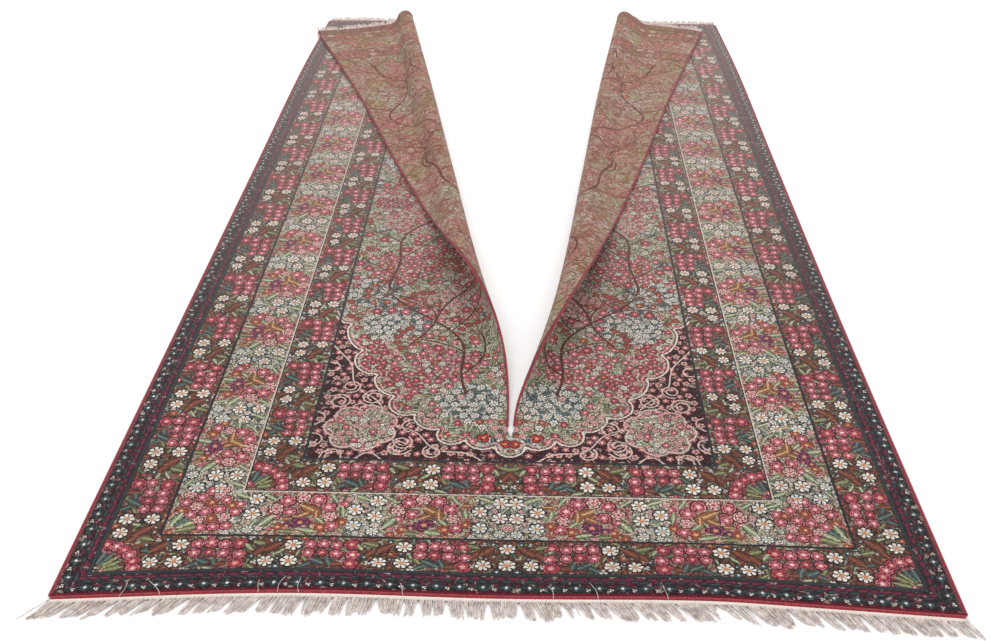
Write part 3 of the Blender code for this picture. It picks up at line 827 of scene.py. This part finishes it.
def weaveColour(tree, lines, wander):
    # the whole design as one colour, from the ground up to the lines between the strips
    stray = (wander, wander, 0.0)
    bloomStray = (wander * weave["bloomWander"], wander * weave["bloomWander"], 0.0)
    scrapStray = (weave["scrapDrift"], weave["scrapDrift"], 0.0)
    place = addNode(tree, "Attribute", {"attribute_name": "flatPlace"}).outputs["Vector"]
    knots = addNode(tree, "TexNoise", {}, {"Vector": place, "Scale": weave["knots"], "Detail": 1.0})
    centred = addNode(tree, "VectorMath", {"operation": "SUBTRACT"}, {0: knots.outputs["Color"], 1: (0.5, 0.5, 0.5)})
    moved = addNode(tree, "VectorMath", {"operation": "MULTIPLY_ADD"}, {0: centred, 1: stray, 2: place}).outputs[0]
    tones = {name: addNode(tree, "Attribute", {"attribute_name": name}) for name in (
        "ground", "fillingOne", "fillingTwo", "bedEdge", "bloomPlace", "bloomShape", "bloomPetal", "bloomRim",
        "bloomHeart", "vinePlace", "vineTone",
    )}

    # leaf-shaped scraps that fill the ground, 11 mm across so they show, each with a dark outline
    drift = addNode(tree, "TexNoise", {}, {"Vector": place, "Scale": 45.0, "Detail": 2.0})
    drift = addNode(tree, "VectorMath", {"operation": "SUBTRACT"}, {0: drift.outputs["Color"], 1: (0.5, 0.5, 0.5)})
    bent = addNode(tree, "VectorMath", {"operation": "MULTIPLY_ADD"}, {0: drift, 1: scrapStray, 2: moved}).outputs[0]
    cells = addNode(tree, "TexVoronoi", {}, {"Vector": bent, "Scale": weave["scraps"], "Randomness": 0.9})
    gaps = addNode(tree, "TexVoronoi", {"feature": "DISTANCE_TO_EDGE"}, {"Vector": bent, "Scale": weave["scraps"],
        "Randomness": 0.9})
    scrap = addNode(tree, "SeparateColor", {}, {0: cells.outputs["Color"]})
    tones["paler"] = addNode(tree, "Mix", mixed, {0: 0.35, 6: tones["fillingTwo"].outputs["Color"],
        7: linear(weave["pale"])}).outputs[2]
    colour = tones["ground"].outputs["Color"]
    for above, tone in (
        (0.30, tones["fillingOne"].outputs["Color"]),
        (0.60, tones["fillingTwo"].outputs["Color"]),
        (0.84, tones["paler"]),
    ):
        chosen = addNode(tree, "Math", {"operation": "GREATER_THAN"}, {0: scrap, 1: above})
        colour = addNode(tree, "Mix", mixed, {0: chosen, 6: colour, 7: tone}).outputs[2]
    shade = addNode(tree, "MapRange", {}, {0: cells.outputs["Distance"], 1: 0.05, 2: 0.55, 3: 1.18, 4: 0.82})
    colour = addNode(tree, "Mix", multiplied, {0: 1.0, 6: colour, 7: shade})
    outlined = addNode(tree, "MapRange", {}, {0: gaps.outputs["Distance"], 1: 0.060, 2: 0.110, 3: 0.20, 4: 1.16})
    colour = addNode(tree, "Mix", multiplied, {0: 1.0, 6: colour.outputs[2], 7: outlined})

    # the lobed edge: an ivory line with a dark one beside it, dark ground outside
    edgeNow = addNode(tree, "VectorMath", {"operation": "DOT_PRODUCT"}, {0: centred, 1: stray})
    edgeNow = addNode(tree, "Math", {"operation": "ADD"},
        {0: tones["bedEdge"].outputs["Fac"], 1: edgeNow.outputs["Value"]})
    edgeAt = addNode(tree, "MapRange", {}, {0: edgeNow, 1: -0.03, 2: 0.03})
    edgeRamp = addNode(tree, "ValToRGB", {}, {0: edgeAt})
    fillSteps(edgeRamp, [(0.0, "#000000", 0), (0.26, "#C9A9A2", 1), (0.31, "#000000", 0), (0.40, "#5A3A3A", 1),
        (0.45, "#DCCDC2", 1), (0.55, "#2E0F18", 1), (0.60, "#000000", 0)])

    # blooms: petals round a heart with a dark rim; no petals means a leaf with a midrib
    spot = addNode(tree, "VectorMath", {"operation": "MULTIPLY_ADD"},
        {0: centred, 1: bloomStray, 2: tones["bloomPlace"].outputs["Vector"]})
    spotParts = addNode(tree, "SeparateXYZ", {}, {0: spot})
    shape = addNode(tree, "SeparateColor", {}, {0: tones["bloomShape"].outputs["Color"]})
    reach = addNode(tree, "VectorMath", {"operation": "LENGTH"}, {0: spot})
    angle = addNode(tree, "Math", {"operation": "ARCTAN2"}, {0: spotParts.outputs["Y"], 1: spotParts.outputs["X"]})
    halfTurns = addNode(tree, "Math", {"operation": "MULTIPLY"}, {0: shape, 1: 5.0})
    angle = addNode(tree, "Math", {"operation": "MULTIPLY"}, {0: angle, 1: halfTurns})
    wave = addNode(tree, "Math", {"operation": "COSINE"}, {0: angle})
    wave = addNode(tree, "Math", {"operation": "ABSOLUTE"}, {0: wave})
    waveSoft = addNode(tree, "Math", {"operation": "SQRT"}, {0: wave})
    dip = addNode(tree, "Math", {"operation": "SUBTRACT"}, {0: 1.0, 1: waveSoft})
    outline = addNode(tree, "Math", {"operation": "MULTIPLY"}, {0: dip, 1: shape.outputs[1]})
    outline = addNode(tree, "Math", {"operation": "SUBTRACT"}, {0: 1.0, 1: outline})
    petalReach = addNode(tree, "Math", {"operation": "DIVIDE"}, {0: reach.outputs["Value"], 1: outline})
    leafSide = addNode(tree, "Math", {"operation": "ABSOLUTE"}, {0: spotParts.outputs["Y"]})
    leafWide = addNode(tree, "Math", {"operation": "DIVIDE"}, {0: leafSide, 1: shape.outputs[1]})
    leafLong = addNode(tree, "Math", {"operation": "POWER"}, {0: spotParts.outputs["X"], 1: 2.0})
    leafReach = addNode(tree, "Math", {"operation": "ADD"}, {0: leafWide, 1: leafLong})
    isLeaf = addNode(tree, "Math", {"operation": "LESS_THAN"}, {0: shape, 1: 0.05})
    far = addNode(tree, "Mix", {}, {0: isLeaf, 2: petalReach, 3: leafReach})
    inBloom = addNode(tree, "Math", {"operation": "LESS_THAN"}, {0: far, 1: 1.0})
    inPetal = addNode(tree, "Math", {"operation": "LESS_THAN"}, {0: far, 1: 0.77})
    gapShare = addNode(tree, "Math", {"operation": "MULTIPLY"}, {0: shape.outputs[1], 1: 0.9})
    apart = addNode(tree, "Math", {"operation": "GREATER_THAN"}, {0: wave, 1: gapShare})
    ringOff = addNode(tree, "Math", {"operation": "SUBTRACT"}, {0: far, 1: tones["bloomShape"].outputs["Alpha"]})
    ringOff = addNode(tree, "Math", {"operation": "ABSOLUTE"}, {0: ringOff})
    offRing = addNode(tree, "Math", {"operation": "GREATER_THAN"}, {0: ringOff, 1: 0.055})
    inPetal = addNode(tree, "Math", {"operation": "MULTIPLY"}, {0: inPetal, 1: apart})
    inPetal = addNode(tree, "Math", {"operation": "MULTIPLY"}, {0: inPetal, 1: offRing})
    heartReach = addNode(tree, "Mix", {}, {0: isLeaf, 2: reach.outputs["Value"], 3: leafSide})
    inHeart = addNode(tree, "Math", {"operation": "LESS_THAN"}, {0: heartReach, 1: shape.outputs[2]})
    petalShade = addNode(tree, "MapRange", {}, {0: far, 1: 0.2, 2: 0.85, 3: 0.78, 4: 1.08})
    petal = addNode(tree, "Mix", multiplied, {0: 1.0, 6: tones["bloomPetal"].outputs["Color"], 7: petalShade})
    bloom = addNode(tree, "Mix", mixed, {0: inPetal, 6: tones["bloomRim"].outputs["Color"], 7: petal.outputs[2]})
    bloom = addNode(tree, "Mix", mixed, {0: inHeart, 6: bloom.outputs[2], 7: tones["bloomHeart"].outputs["Color"]})
    colour = addNode(tree, "Mix", mixed, {0: inBloom, 6: colour.outputs[2], 7: bloom.outputs[2]})
    # vines: a line round the nearest curve
    vineSpot = addNode(tree, "SeparateXYZ", {}, {0: tones["vinePlace"].outputs["Vector"]})
    vineOff = addNode(tree, "Math", {"operation": "ABSOLUTE"}, {0: vineSpot.outputs["X"]})
    vineThin = addNode(tree, "MapRange", {}, {0: knots.outputs["Fac"], 1: 0.3, 2: 0.7, 3: 0.7, 4: 1.35})
    isVine = addNode(tree, "Math", {"operation": "LESS_THAN"}, {0: vineOff, 1: vineThin})
    colour = addNode(tree, "Mix", mixed, {0: isVine, 6: colour.outputs[2], 7: tones["vineTone"].outputs["Color"]})

    colour = addNode(tree, "Mix", mixed, {0: edgeRamp.outputs["Alpha"], 6: colour.outputs[2],
        7: edgeRamp.outputs["Color"]})

    # straight lines between the strips, by distance in from the rug's edge
    flatParts = addNode(tree, "SeparateXYZ", {}, {0: moved})
    fromMiddle = addNode(tree, "Math", {"operation": "ABSOLUTE"}, {0: flatParts.outputs["X"]})
    fromSide = addNode(tree, "Math", {"operation": "SUBTRACT"}, {0: halfWidth, 1: fromMiddle})
    fromFar = addNode(tree, "Math", {"operation": "SUBTRACT"}, {0: rug["length"], 1: flatParts.outputs["Y"]})
    inward = addNode(tree, "Math", {"operation": "MINIMUM"}, {0: fromSide, 1: fromFar})
    inward = addNode(tree, "Math", {"operation": "MINIMUM"}, {0: inward, 1: flatParts.outputs["Y"]})
    lineRamp = addNode(tree, "ValToRGB", {}, {0: inward})
    fillSteps(lineRamp, [(0.0, "#74172A", 1)] + lines + [(0.56, "#000000", 0)])
    colour = addNode(tree, "Mix", mixed, {0: lineRamp.outputs["Alpha"], 6: colour.outputs[2],
        7: lineRamp.outputs["Color"]})
    # knot by knot the dye takes differently: small specks
    speck = addNode(tree, "TexNoise", {}, {"Vector": place, "Scale": weave["specks"], "Detail": 2.0, "Roughness": 0.9})
    speckRange = addNode(tree, "MapRange", {}, {0: speck.outputs["Fac"], 1: 0.32, 2: 0.68, 3: 0.40, 4: 1.56})
    colour = addNode(tree, "Mix", multiplied, {0: 1.0, 6: colour.outputs[2], 7: speckRange})
    return colour.outputs[2], place, isVine.outputs[0], tones["vineTone"].outputs["Color"]


stripLines = [  # from this far in, colour, covered or not
    (0.0035, "#000000", 0), (0.062, "#1F2128", 1), (0.0655, "#2F3B40", 1), (0.0675, "#1F2128", 1),
    (0.0705, "#000000", 0),
    (0.2000, "#1F2128", 1), (0.2035, "#3A474B", 1), (0.2055, "#1F2128", 1), (0.2090, "#000000", 0),
    (0.3800, "#CFC1B4", 1), (0.3845, "#1F2128", 1), (0.3900, "#000000", 0),
    (0.5190, "#24262F", 1), (0.5260, "#000000", 0),
]

# the pale grey-pink and its share at the far end are painted sheen, not fading
pile = {"roughness": 0.92, "gloss": 0.25, "bands": 2.2, "paintedSheenTone": "#AD9A94", "bloomTint": "#E4D6D0", "paintedSheenShare": 0.24,
    "sheen": 0.30, "wander": 0.0042, "knot": 190.0, "bump": 0.5}
# cut wool pile, hand-knotted: matte with a soft bloom at grazing angles, colours speckled knot by knot
pileWool, tree, shader = newMaterial("hand-knotted wool pile")
colour, place, onVine, vineTone = weaveColour(tree, stripLines, pile["wander"])
# dye lots and wear, about half a metre across
bands = addNode(tree, "TexNoise", {}, {"Vector": place, "Scale": pile["bands"], "Detail": 3.0})
fading = addNode(tree, "MapRange", {}, {0: bands.outputs["Fac"], 1: 0.3, 2: 0.7, 3: 0.76, 4: 0.98}).outputs[0]
worn = addNode(tree, "Mix", multiplied, {0: 1.0, 6: colour, 7: fading})
parts = addNode(tree, "SeparateXYZ", {}, {0: place})
# painted sheen: towards the far end, seen at grazing angles, the colour is mixed towards a pale grey-pink that stands
# in for the paleness of sheen there
paintedSheenShare = addNode(tree, "MapRange", {}, {0: parts.outputs["Y"], 1: 1.0, 2: 4.2, 3: 0.0, 4: pile["paintedSheenShare"]})
worn = addNode(tree, "Mix", mixed, {0: paintedSheenShare, 6: worn.outputs[2], 7: linear(pile["paintedSheenTone"])})
tree.links.new(worn.outputs[2], shader.inputs["Base Color"])
shader.inputs["Roughness"].default_value = pile["roughness"]
shader.inputs["Specular IOR Level"].default_value = pile["gloss"]
shader.inputs["Sheen Weight"].default_value = pile["sheen"]
shader.inputs["Sheen Roughness"].default_value = 0.45
shader.inputs["Sheen Tint"].default_value = linear(pile["bloomTint"])
tufts = addNode(tree, "TexNoise", {}, {"Vector": place, "Scale": pile["knot"], "Detail": 2.0})
bump = addNode(tree, "Bump", {}, {"Height": tufts.outputs["Fac"], "Strength": pile["bump"], "Distance": 0.002})
tree.links.new(bump.outputs["Normal"], shader.inputs["Normal"])

backing = {"roughness": 0.95, "wander": 0.0030, "hues": 6.5, "hueShare": 0.36, "tan": "#8F6E5C", "keep": 0.66,
    "bough": 0.80, "twigScale": 24.0, "twigDepth": 0.58, "twigTone": "#6E2F28", "ridge": 0.0042}
# the rug's underside, bare knots packed on cotton wefts: flat, dusty, the design showing through at low contrast
backKnots, tree, shader = newMaterial("knotted wool back")
colour, place, onVine, vineTone = weaveColour(tree, stripLines, backing["wander"])
parts = addNode(tree, "SeparateXYZ", {}, {0: place})
weft = addNode(tree, "Math", {"operation": "MULTIPLY"}, {0: parts.outputs["Y"], 1: fullTurn / backing["ridge"]})
weft = addNode(tree, "Math", {"operation": "SINE"}, {0: weft})
dusty = addNode(tree, "Mix", mixed, {0: backing["keep"], 6: linear(backing["tan"]), 7: colour})
hue = addNode(tree, "TexNoise", {}, {"Vector": place, "Scale": backing["hues"], "Detail": 4.0})
hueRamp = addNode(tree, "ValToRGB", {}, {0: hue.outputs["Fac"]})
hueRamp.color_ramp.elements[0].position, hueRamp.color_ramp.elements[0].color = 0.36, linear("#A87060")
hueRamp.color_ramp.elements[1].position, hueRamp.color_ramp.elements[1].color = 0.68, linear("#8E8C4C")
hueRamp.color_ramp.elements.new(0.50).color = linear("#9A7662")
tinted = addNode(tree, "Mix", mixed, {0: backing["hueShare"], 6: dusty.outputs[2], 7: hueRamp.outputs["Color"]})
drift = addNode(tree, "TexNoise", {}, {"Vector": place, "Scale": 12.0, "Detail": 2.0})
drift = addNode(tree, "VectorMath", {"operation": "MULTIPLY_ADD"}, {0: drift.outputs["Color"], 1: (0.10, 0.10, 0.0),
    2: place})
twigs = addNode(tree, "TexVoronoi", {"feature": "DISTANCE_TO_EDGE"}, {"Vector": drift, "Scale": backing["twigScale"]})
isTwig = addNode(tree, "MapRange", {}, {0: twigs.outputs["Distance"], 1: 0.03, 2: 0.09, 3: backing["twigDepth"],
    4: 0.0})
tinted = addNode(tree, "Mix", mixed, {0: isTwig, 6: tinted.outputs[2], 7: linear(backing["twigTone"])})
bough = addNode(tree, "Math", {"operation": "MULTIPLY"}, {0: onVine, 1: backing["bough"]})
tinted = addNode(tree, "Mix", mixed, {0: bough, 6: tinted.outputs[2], 7: vineTone})
tree.links.new(tinted.outputs[2], shader.inputs["Base Color"])
shader.inputs["Roughness"].default_value = backing["roughness"]
shader.inputs["Specular IOR Level"].default_value = 0.2
shader.inputs["Sheen Weight"].default_value = 0.10
bump = addNode(tree, "Bump", {}, {"Height": weft, "Strength": 0.35, "Distance": 0.0006})
tree.links.new(bump.outputs["Normal"], shader.inputs["Normal"])


def makeSheet(name, material, columns, nearRows, slitRows, outward, wall):
    # a grid opened along the slit, laid in its folds, then moved out to the pile or the back
    rows = nearRows + slitRows
    slitStart = slitEnd - nearEnd
    ups = [slitStart * i / nearRows for i in range(nearRows)]
    ups += [slitStart + rug["slitLength"] * i / slitRows for i in range(slitRows + 1)]
    half = columns // 2
    bm = bmesh.new()
    bmesh.ops.create_grid(bm, x_segments=columns, y_segments=rows, size=0.5)
    for vertex in bm.verts:
        vertex.co = (round((vertex.co.x + 0.5) * columns), round((vertex.co.y + 0.5) * rows), 0.0)
    slit = [edge for edge in bm.edges if all(v.co.x == half and v.co.y >= nearRows for v in edge.verts)]
    bmesh.ops.split_edges(bm, edges=slit)
    flatLayer = bm.verts.layers.float_vector.new("laidFlat")
    for vertex in bm.verts:
        column, row = round(vertex.co.x), round(vertex.co.y)
        reach = sum(face.calc_center_median().x for face in vertex.link_faces)
        side = 1 if reach > half * len(vertex.link_faces) else -1
        vertex[flatLayer] = (column, row, side)
    for vertex in bm.verts:
        column, row, side = vertex[flatLayer]
        side = int(side)
        inner = slitEdge(nearEnd + ups[int(row)])
        across = inner + (halfWidth - inner) * abs(column - half) / half
        vertex[flatLayer] = (side * across, ups[int(row)], 0.0)
        vertex.co = placed(side, across, nearEnd + ups[int(row)])
    if outward < 0:
        bmesh.ops.reverse_faces(bm, faces=bm.faces)
    bm.normal_update()
    lifts = [vertex.normal * abs(outward) for vertex in bm.verts]
    for vertex, lift in zip(list(bm.verts), lifts):
        vertex.co += lift
    if wall:
        rim = [edge for edge in bm.edges if edge.is_boundary]
        downs = {vertex: vertex.normal.copy() for edge in rim for vertex in edge.verts}
        made = bmesh.ops.extrude_edge_only(bm, edges=rim)["geom"]
        for vertex in (v for v in made if isinstance(v, bmesh.types.BMVert)):
            beside = [edge.other_vert(vertex) for edge in vertex.link_edges]
            source = min((v for v in beside if v in downs), key=lambda v: (v.co - vertex.co).length)
            vertex[flatLayer] = source[flatLayer]
            vertex.co = source.co - downs[source] * wall
    flat = [tuple(vertex[flatLayer][:2]) for vertex in bm.verts]
    uvLayer = bm.loops.layers.uv.new("OFBake")
    for face in bm.faces:
        for loop in face.loops:
            x, y = loop.vert[flatLayer][:2]
            loop[uvLayer].uv = (0.5 + x / (rug["width"] * 1.01), 0.005 + y / (rug["length"] * 1.01))
    piece = addPiece(bm, name, material)
    drawDesign(piece.data, flat)
    print("laid", name, "with", len(piece.data.polygons), "faces")
    return piece


rugFace = makeSheet("rugFace", pileWool, 214, 62, 366, rug["thickness"] / 2, 0.0065)
rugBack = makeSheet("rugBack", backKnots, 138, 40, 238, -rug["thickness"] / 2, 0.0)
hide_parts("rug_body")

# overcast edges
overcast = {"across": 0.0048, "nearAcross": 0.0078, "upright": 0.0049, "ridge": 0.0005, "pitch": 0.0060, "sides": 8,
    "colour": "#A61C2F", "dark": "#640E1E", "offset": 0.0038, "slitAcross": 0.0036, "slitOffset": 0.0032}
# wool yarn wrapped round the edge cords: saturated crimson, ridged turn by turn, slightly fuzzy; its darker crimson
# lies in the fuzz's hollows, partly uneven dye and partly painted shade
crimsonYarn = yarnMaterial(
    "overcast crimson wool yarn", ("TexNoise", {}, {"Scale": 120.0, "Detail": 3.0}),
    [(0.30, overcast["dark"]), (0.68, overcast["colour"])], {"roughness": 0.85, "sheen": 0.25, "bump": 0.4,
        "depth": 0.001})


def makeCord(name, points, node, wide):
    # a tube walked along these points, its rings swelling turn by turn
    lengths = [0.0]
    for a, b in zip(points, points[1:]):
        lengths.append(lengths[-1] + (b - a).length)
    rings = round(lengths[-1] / overcast["pitch"]) * 2
    sides = overcast["sides"]
    bm = bmesh.new()
    bmesh.ops.create_grid(bm, x_segments=sides, y_segments=rings, size=0.5)
    index = 0
    walk = []
    for ring in range(rings + 1):
        at = lengths[-1] * ring / rings
        while index < len(lengths) - 2 and lengths[index + 1] < at:
            index += 1
        part = (at - lengths[index]) / (lengths[index + 1] - lengths[index])
        walk.append(points[index].lerp(points[index + 1], part))
    for vertex in bm.verts:
        side, ring = round((vertex.co.x + 0.5) * sides), round((vertex.co.y + 0.5) * rings)
        ahead = (walk[min(ring + 1, rings)] - walk[max(ring - 1, 0)]).normalized()
        sideways = ahead.cross(Vector((0.0, 0.0, 1.0))).normalized()
        upward = sideways.cross(ahead)
        angle = 2 * math.pi * side / sides
        swell = overcast["ridge"] * (1 if ring % 2 else -1) - (0.002 if ring in (0, rings) else 0.0)
        outward = sideways * math.cos(angle) * (wide + swell)
        vertex.co = walk[ring] + outward + upward * math.sin(angle) * (overcast["upright"] + swell * 0.6)
    bmesh.ops.remove_doubles(bm, verts=bm.verts, dist=0.00001)
    ends = [edge for edge in bm.edges if edge.is_boundary]
    bmesh.ops.holes_fill(bm, edges=ends, sides=sides)
    bmesh.ops.recalc_face_normals(bm, faces=bm.faces)
    piece = addPiece(bm, name, crimsonYarn)
    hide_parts(node)
    return piece


upStops = [nearEnd + rug["length"] * i / 220 for i in range(221)]
for side, word, node in ((-1, "Left", "left"), (1, "Right", "right")):
    points = [placed(side, halfWidth + overcast["offset"], up) for up in upStops]
    makeCord("sideCord" + word, points, "side_cord_" + node, overcast["across"])
    opening = slitEnd + rug["slitOpensOver"]
    opened = [opening + (farEnd - rug["cordOffset"] - slitEnd - rug["slitOpensOver"]) * i / 200 for i in range(201)]
    points = [placed(side, slitEdge(up) - overcast["slitOffset"], up) for up in opened]
    makeCord("slitCord" + word, points, "slit_cord_" + node, overcast["slitAcross"])
    acrossStops = [slitEdge(farEnd) + (halfWidth - slitEdge(farEnd)) * i / 120 for i in range(121)]
    points = [placed(side, across, farEnd + rug["cordOffset"]) for across in acrossStops]
    makeCord("farEndCord" + word, points, "far_end_cord_" + node, overcast["nearAcross"])
acrossStops = [halfWidth * (i / 80 - 1) for i in range(161)]
points = [placed(-1 if across < 0 else 1, abs(across), nearEnd - rug["cordOffset"]) for across in acrossStops]
makeCord("nearEndCord", points, "near_end_cord", overcast["nearAcross"])

# fringes
fringe = {
    "spacing": 0.0033, "thick": 0.0016, "length": 0.058, "uneven": 0.020, "band": 0.010, "clump": 0.034,
    "clumpFrom": 3.0, "gather": 0.42, "droop": 0.7, "strays": 9, "strayThick": 0.0007,
    "colour": "#E6DAD3", "shade": "#AE9D97",
    # across, sideways per length
    "leans": [(-1.10, -0.85), (-0.80, -0.70), (-0.50, -0.30), (-0.20, 0.05), (0.00, 0.10), (0.20, 0.55), (0.55, 0.70),
        (0.80, 0.55), (1.10, 0.60)],
}
# ivory cotton warp ends, hand-spun and left loose: matt off-white, grey in the gaps as painted shade where the bump is
# low, fuzzy
warpCotton = yarnMaterial(
    "hand-spun ivory cotton warp", ("TexNoise", {}, {"Scale": 60.0, "Detail": 4.0, "Roughness": 0.7}),
    [(0.32, fringe["shade"]), (0.62, fringe["colour"])], {"roughness": 0.9, "sheen": 0.15, "bump": 0.4, "depth": 0.001})
# the same cotton woven over and under into a narrow kilim end: smooth cream, ribbed across, with painted shade in the
# troughs between the ribs
bandCotton = yarnMaterial(
    "plain-woven ivory cotton",
    ("TexWave", {"bands_direction": "X"}, {"Scale": 90.0, "Distortion": 1.5, "Detail": 2.0}),
    [(0.0, "#D9CBBF"), (1.0, "#F3EAE1")], {"roughness": 0.85, "sheen": 0.0, "bump": 0.3, "depth": 0.0008})


def nearPlace(across, out):
    side = 1 if across > 0 else -1
    base = placed(side, min(abs(across), halfWidth), nearEnd - rug["cordOffset"])
    return Vector((base.x, base.y - out, 0.0))


def farPlaceOn(side):
    def place(across, out):
        spot = placed(side, clamp(abs(across), slitEdge(farEnd), halfWidth), farEnd + rug["cordOffset"] + out)
        raised = max(spot.z - 0.019, 0.0)
        spot.z -= raised * fringe["droop"] * min(out / 0.062, 1.0) ** 2
        return spot
    return place


def makeFringe(name, start, finish, place, node):
    # loose strands, each leaning as its stretch of the edge was combed, wavering a little on its own
    onFloor = node == "near_fringe"
    count = int(abs(finish - start) / fringe["spacing"])
    strands = newStrands(name, fringe["thick"], 0)
    for i in range(count):
        across = start + (finish - start) * (i + 0.5) / count
        clump = int((across + fringe["clumpFrom"]) / fringe["clump"])
        lean = smoothLookup(fringe["leans"], 1, across) if onFloor else 0.25
        lean += 0.10 * math.sin(clump * 2.4) + dice.uniform(-0.07, 0.07)
        ragged = noise.noise(Vector((across * 9.0, 4.0, 0.0))) + 0.6 * noise.noise(Vector((across * 31.0, 9.0, 0.0)))
        reach = fringe["length"] + fringe["uneven"] * ragged + dice.uniform(-0.007, 0.004)
        if dice.random() < 0.05 or ragged < -0.52:
            reach *= 0.55
        lockMiddle = (clump + 0.5 + 0.22 * math.sin(clump * 5.1)) * fringe["clump"] - fringe["clumpFrom"]
        # strands of one lock draw together, which opens gaps between locks
        gather = (lockMiddle - across) * fringe["gather"]
        spline = strands.splines.new("POLY")
        spline.points.add(5)
        for k, point in enumerate(spline.points):
            part = k / 5
            out = reach * part
            spot = place(across, out + 0.002)
            spot.x += (lean * out + gather * part + dice.uniform(-0.0011, 0.0011)) * (1.0 if onFloor else 0.4)
            if onFloor:
                spot.z = 0.0052 - 0.0032 * part + 0.0011 * math.sin(i * 1.9 + k) + dice.uniform(0.0, 0.0008)
                spot.z = max(spot.z, fringe["thick"])
            else:
                spot.z += dice.uniform(-0.0015, 0.0080) * part
            point.co = (*spot, 1.0)
    piece = strandPiece(name, strands, warpCotton, node)
    print("fringed", name, "with", count, "strands")
    return piece


def makeBand(name, start, finish, place):
    # the plain-woven strip that holds the warps, between the crimson edge and the loose ends
    count = 200
    bm = bmesh.new()
    bmesh.ops.create_grid(bm, x_segments=count, y_segments=2, size=0.5)
    for vertex in bm.verts:
        across = start + (finish - start) * (vertex.co.x + 0.5)
        row = round((vertex.co.y + 0.5) * 2)
        spot = place(across, 0.004 + fringe["band"] * row / 2)
        spot.z = (0.0085, 0.0075, 0.0055)[row]
        vertex.co = spot
    bmesh.ops.recalc_face_normals(bm, faces=bm.faces)
    if sum(face.normal.z for face in bm.faces) < 0:
        bmesh.ops.reverse_faces(bm, faces=bm.faces)
    bmesh.ops.solidify(bm, geom=bm.faces[:], thickness=0.0016)
    piece = addPiece(bm, name, bandCotton)
    return piece


def strayThreads(count):
    # warp ends that have worked up through the crimson edge and lie on the pile
    threads = newStrands("strayThreads", fringe["strayThick"], 1)
    for i in range(count):
        across = (-0.93, -0.86, -0.62, -0.56, -0.50, -0.24, 0.10, 0.22, 0.40)[i] + dice.uniform(-0.02, 0.02)
        lean, reach = dice.uniform(-0.6, 0.7), dice.uniform(0.025, 0.060)
        spline = threads.splines.new("POLY")
        spline.points.add(8)
        for k, point in enumerate(spline.points):
            part = k / 8
            x = clamp(across + lean * reach * part + 0.006 * math.sin(3 * part + i), -1.08, 1.08)
            spot = placed(1 if x > 0 else -1, abs(x), nearEnd - 0.012 + reach * part)
            point.co = (spot.x, spot.y, 0.0113 + 0.002 * math.sin(3.1 * part), 1.0)
    return strandPiece("strayThreads", threads, warpCotton)


fringes = [strayThreads(fringe["strays"]), makeFringe("nearFringe", -halfWidth, halfWidth, nearPlace, "near_fringe"),
    makeBand("nearBand", -halfWidth, halfWidth, nearPlace)]
for side, word, node in ((-1, "Left", "far_fringe_left"), (1, "Right", "far_fringe_right")):
    fringes.append(makeFringe("farFringe" + word, halfWidth, slitEdge(farEnd), farPlaceOn(side), node))
